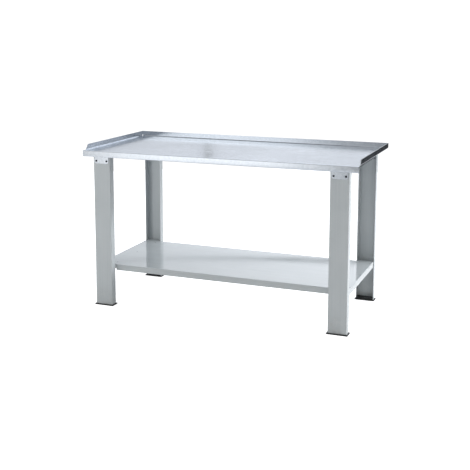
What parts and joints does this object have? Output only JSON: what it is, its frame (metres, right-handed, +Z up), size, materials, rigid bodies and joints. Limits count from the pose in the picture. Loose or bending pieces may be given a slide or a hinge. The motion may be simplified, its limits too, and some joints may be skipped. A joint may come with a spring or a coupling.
{
  "type": "potting bench",
  "caption": "Steel potting bench: galvanised worktop tray with raised sides and back on four folded legs, with a painted lower shelf.",
  "frame": {"origin": "on the floor, under the middle of the overall box", "axes": "+X to the bench's right end (seen from the front), +Y to its back, +Z up"},
  "size_m": [1.5, 0.7, 0.88],
  "materials": {
    "galvanised": "galvanised sheet, satin",
    "grey_paint": "light grey powder coat, semi-gloss",
    "black_plastic": "moulded black plastic, matt",
    "black_steel": "black-oxide steel",
    "zinc": "bright zinc-plated steel"
  },
  "bodies": {
    "root": {"worktop_sheet": "galvanised", "worktop_stiffener_front": "galvanised", "worktop_stiffener_back": "galvanised", "cross_beam_left": "galvanised", "shelf_rail_left": "grey_paint", "cross_beam_right": "galvanised", "shelf_rail_right": "grey_paint", "leg_front_left": "grey_paint", "leg_front_right": "grey_paint", "leg_back_left": "grey_paint", "leg_back_right": "grey_paint", "foot_front_left": "black_plastic", "foot_front_right": "black_plastic", "foot_back_left": "black_plastic", "foot_back_right": "black_plastic", "shelf_tray": "grey_paint", "shelf_stiffener": "grey_paint", "tab_screw_front_left_1": "black_steel", "tab_nut_front_left_1": "zinc", "tab_screw_front_left_2": "black_steel", "tab_nut_front_left_2": "zinc", "tab_screw_front_right_1": "black_steel", "tab_nut_front_right_1": "zinc", "tab_screw_front_right_2": "black_steel", "tab_nut_front_right_2": "zinc", "tab_screw_back_left_1": "black_steel", "tab_nut_back_left_1": "zinc", "tab_screw_back_left_2": "black_steel", "tab_nut_back_left_2": "zinc", "tab_screw_back_right_1": "black_steel", "tab_nut_back_right_1": "zinc", "tab_screw_back_right_2": "black_steel", "tab_nut_back_right_2": "zinc", "worktop_screw_01": "black_steel", "worktop_screw_02": "black_steel", "worktop_screw_03": "black_steel", "worktop_screw_04": "black_steel", "worktop_screw_05": "black_steel", "worktop_screw_06": "black_steel", "worktop_screw_07": "black_steel", "worktop_screw_08": "black_steel", "shelf_screw_01": "black_steel", "shelf_screw_02": "black_steel", "shelf_screw_03": "black_steel", "shelf_screw_04": "black_steel", "shelf_screw_05": "black_steel", "shelf_screw_06": "black_steel", "shelf_screw_07": "black_steel", "shelf_screw_08": "black_steel", "shelf_screw_09": "black_steel", "shelf_screw_10": "black_steel", "shelf_screw_11": "black_steel", "shelf_screw_12": "black_steel"}
  },
  "joints": []
}
